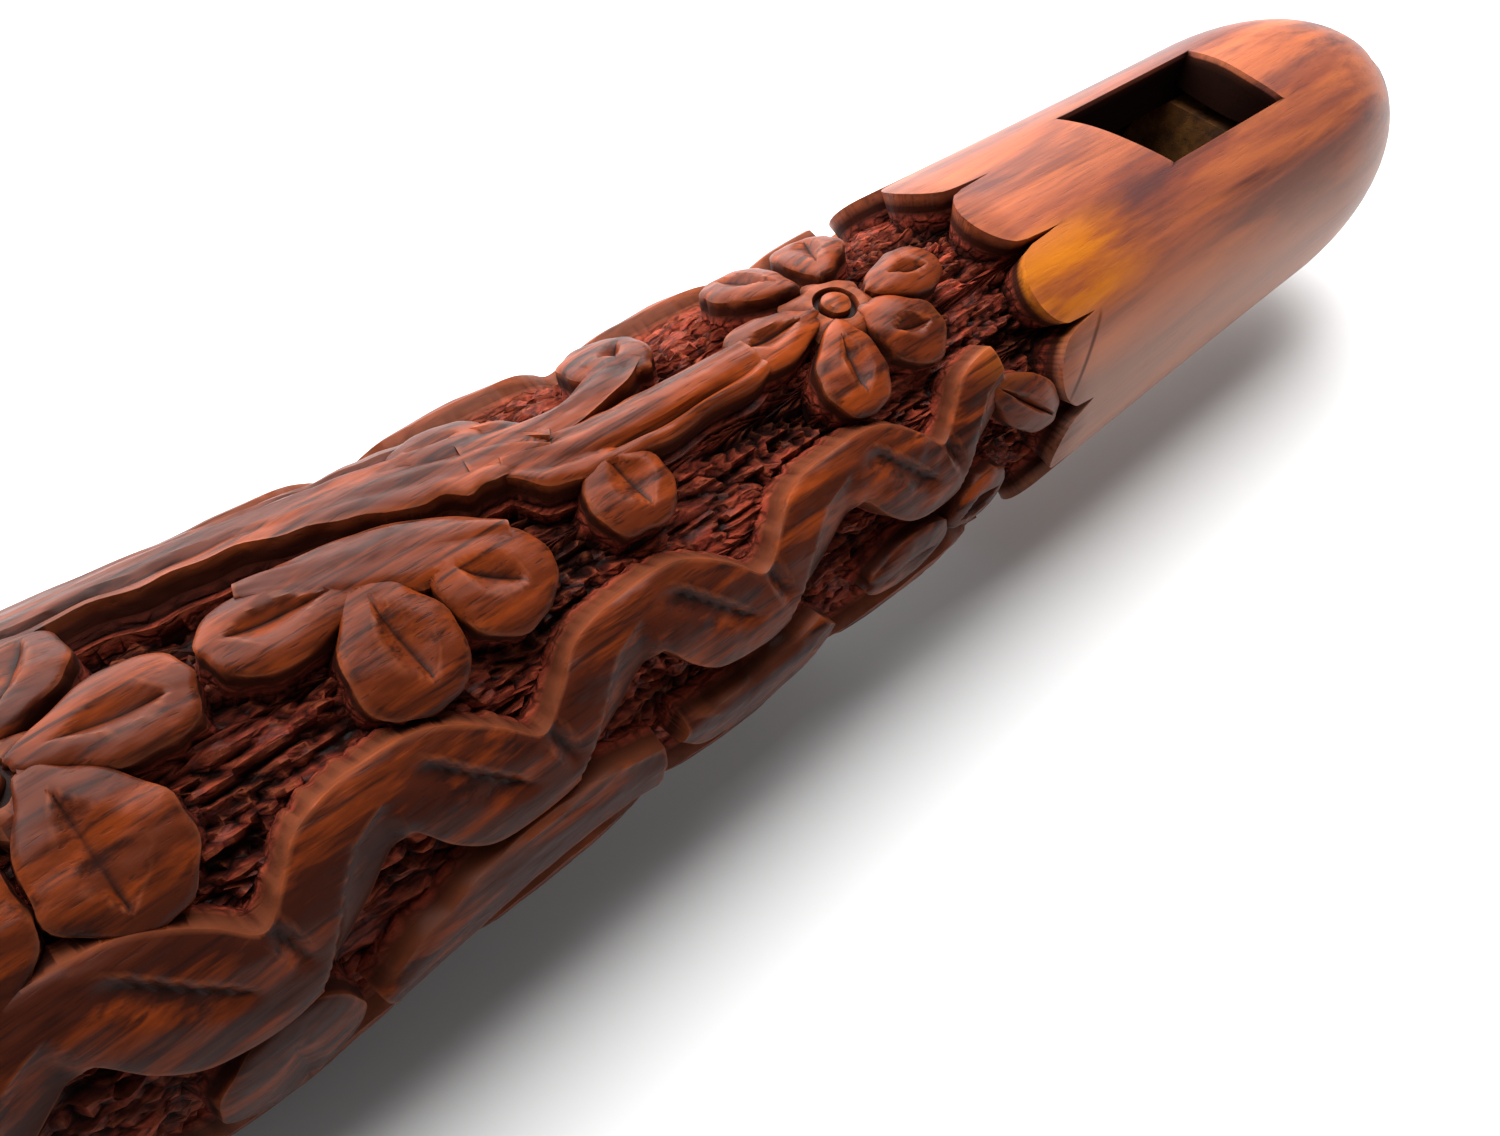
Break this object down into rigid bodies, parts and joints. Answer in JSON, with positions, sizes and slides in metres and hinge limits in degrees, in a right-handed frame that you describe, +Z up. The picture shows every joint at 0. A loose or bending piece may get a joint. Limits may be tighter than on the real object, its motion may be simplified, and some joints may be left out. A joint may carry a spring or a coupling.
{
  "type": "duct flute",
  "caption": "Hand-carved hardwood duct flute in three sections, with a rounded mouth end, a cut window, finger holes and a vine in relief.",
  "frame": {"origin": "on the floor under the middle of the flute's length, where the flute lies on its back with the window up", "axes": "+X along the bore from the foot to the mouth end, +Z up through the window and finger holes; the bore axis is 15.5 mm above the floor"},
  "size_m": [0.36, 0.031, 0.031],
  "materials": {
    "carved_hardwood": "oiled satin",
    "block_wood": "bare, smooth",
    "waxed_thread": "waxed"
  },
  "bodies": {
    "middle": {"middle_joint": "carved_hardwood", "upper_tenon_lapping": "waxed_thread", "lower_tenon_lapping": "waxed_thread"},
    "head": {"head_joint": "carved_hardwood"},
    "block": {"fipple_block": "block_wood"},
    "foot": {"foot_joint": "carved_hardwood"}
  },
  "joints": [
    {"name": "head_pull", "type": "slide", "parent": "middle", "child": "head", "axis": [1, 0, 0], "range_m": [0, 0.03]},
    {"name": "block_pull", "type": "slide", "parent": "head", "child": "block", "axis": [1, 0, 0], "range_m": [0, 0.034]},
    {"name": "foot_turn", "type": "hinge", "parent": "middle", "child": "foot", "pos_m": [-0.148, 0, 0.0155], "axis": [1, 0, 0], "continuous": true}
  ]
}
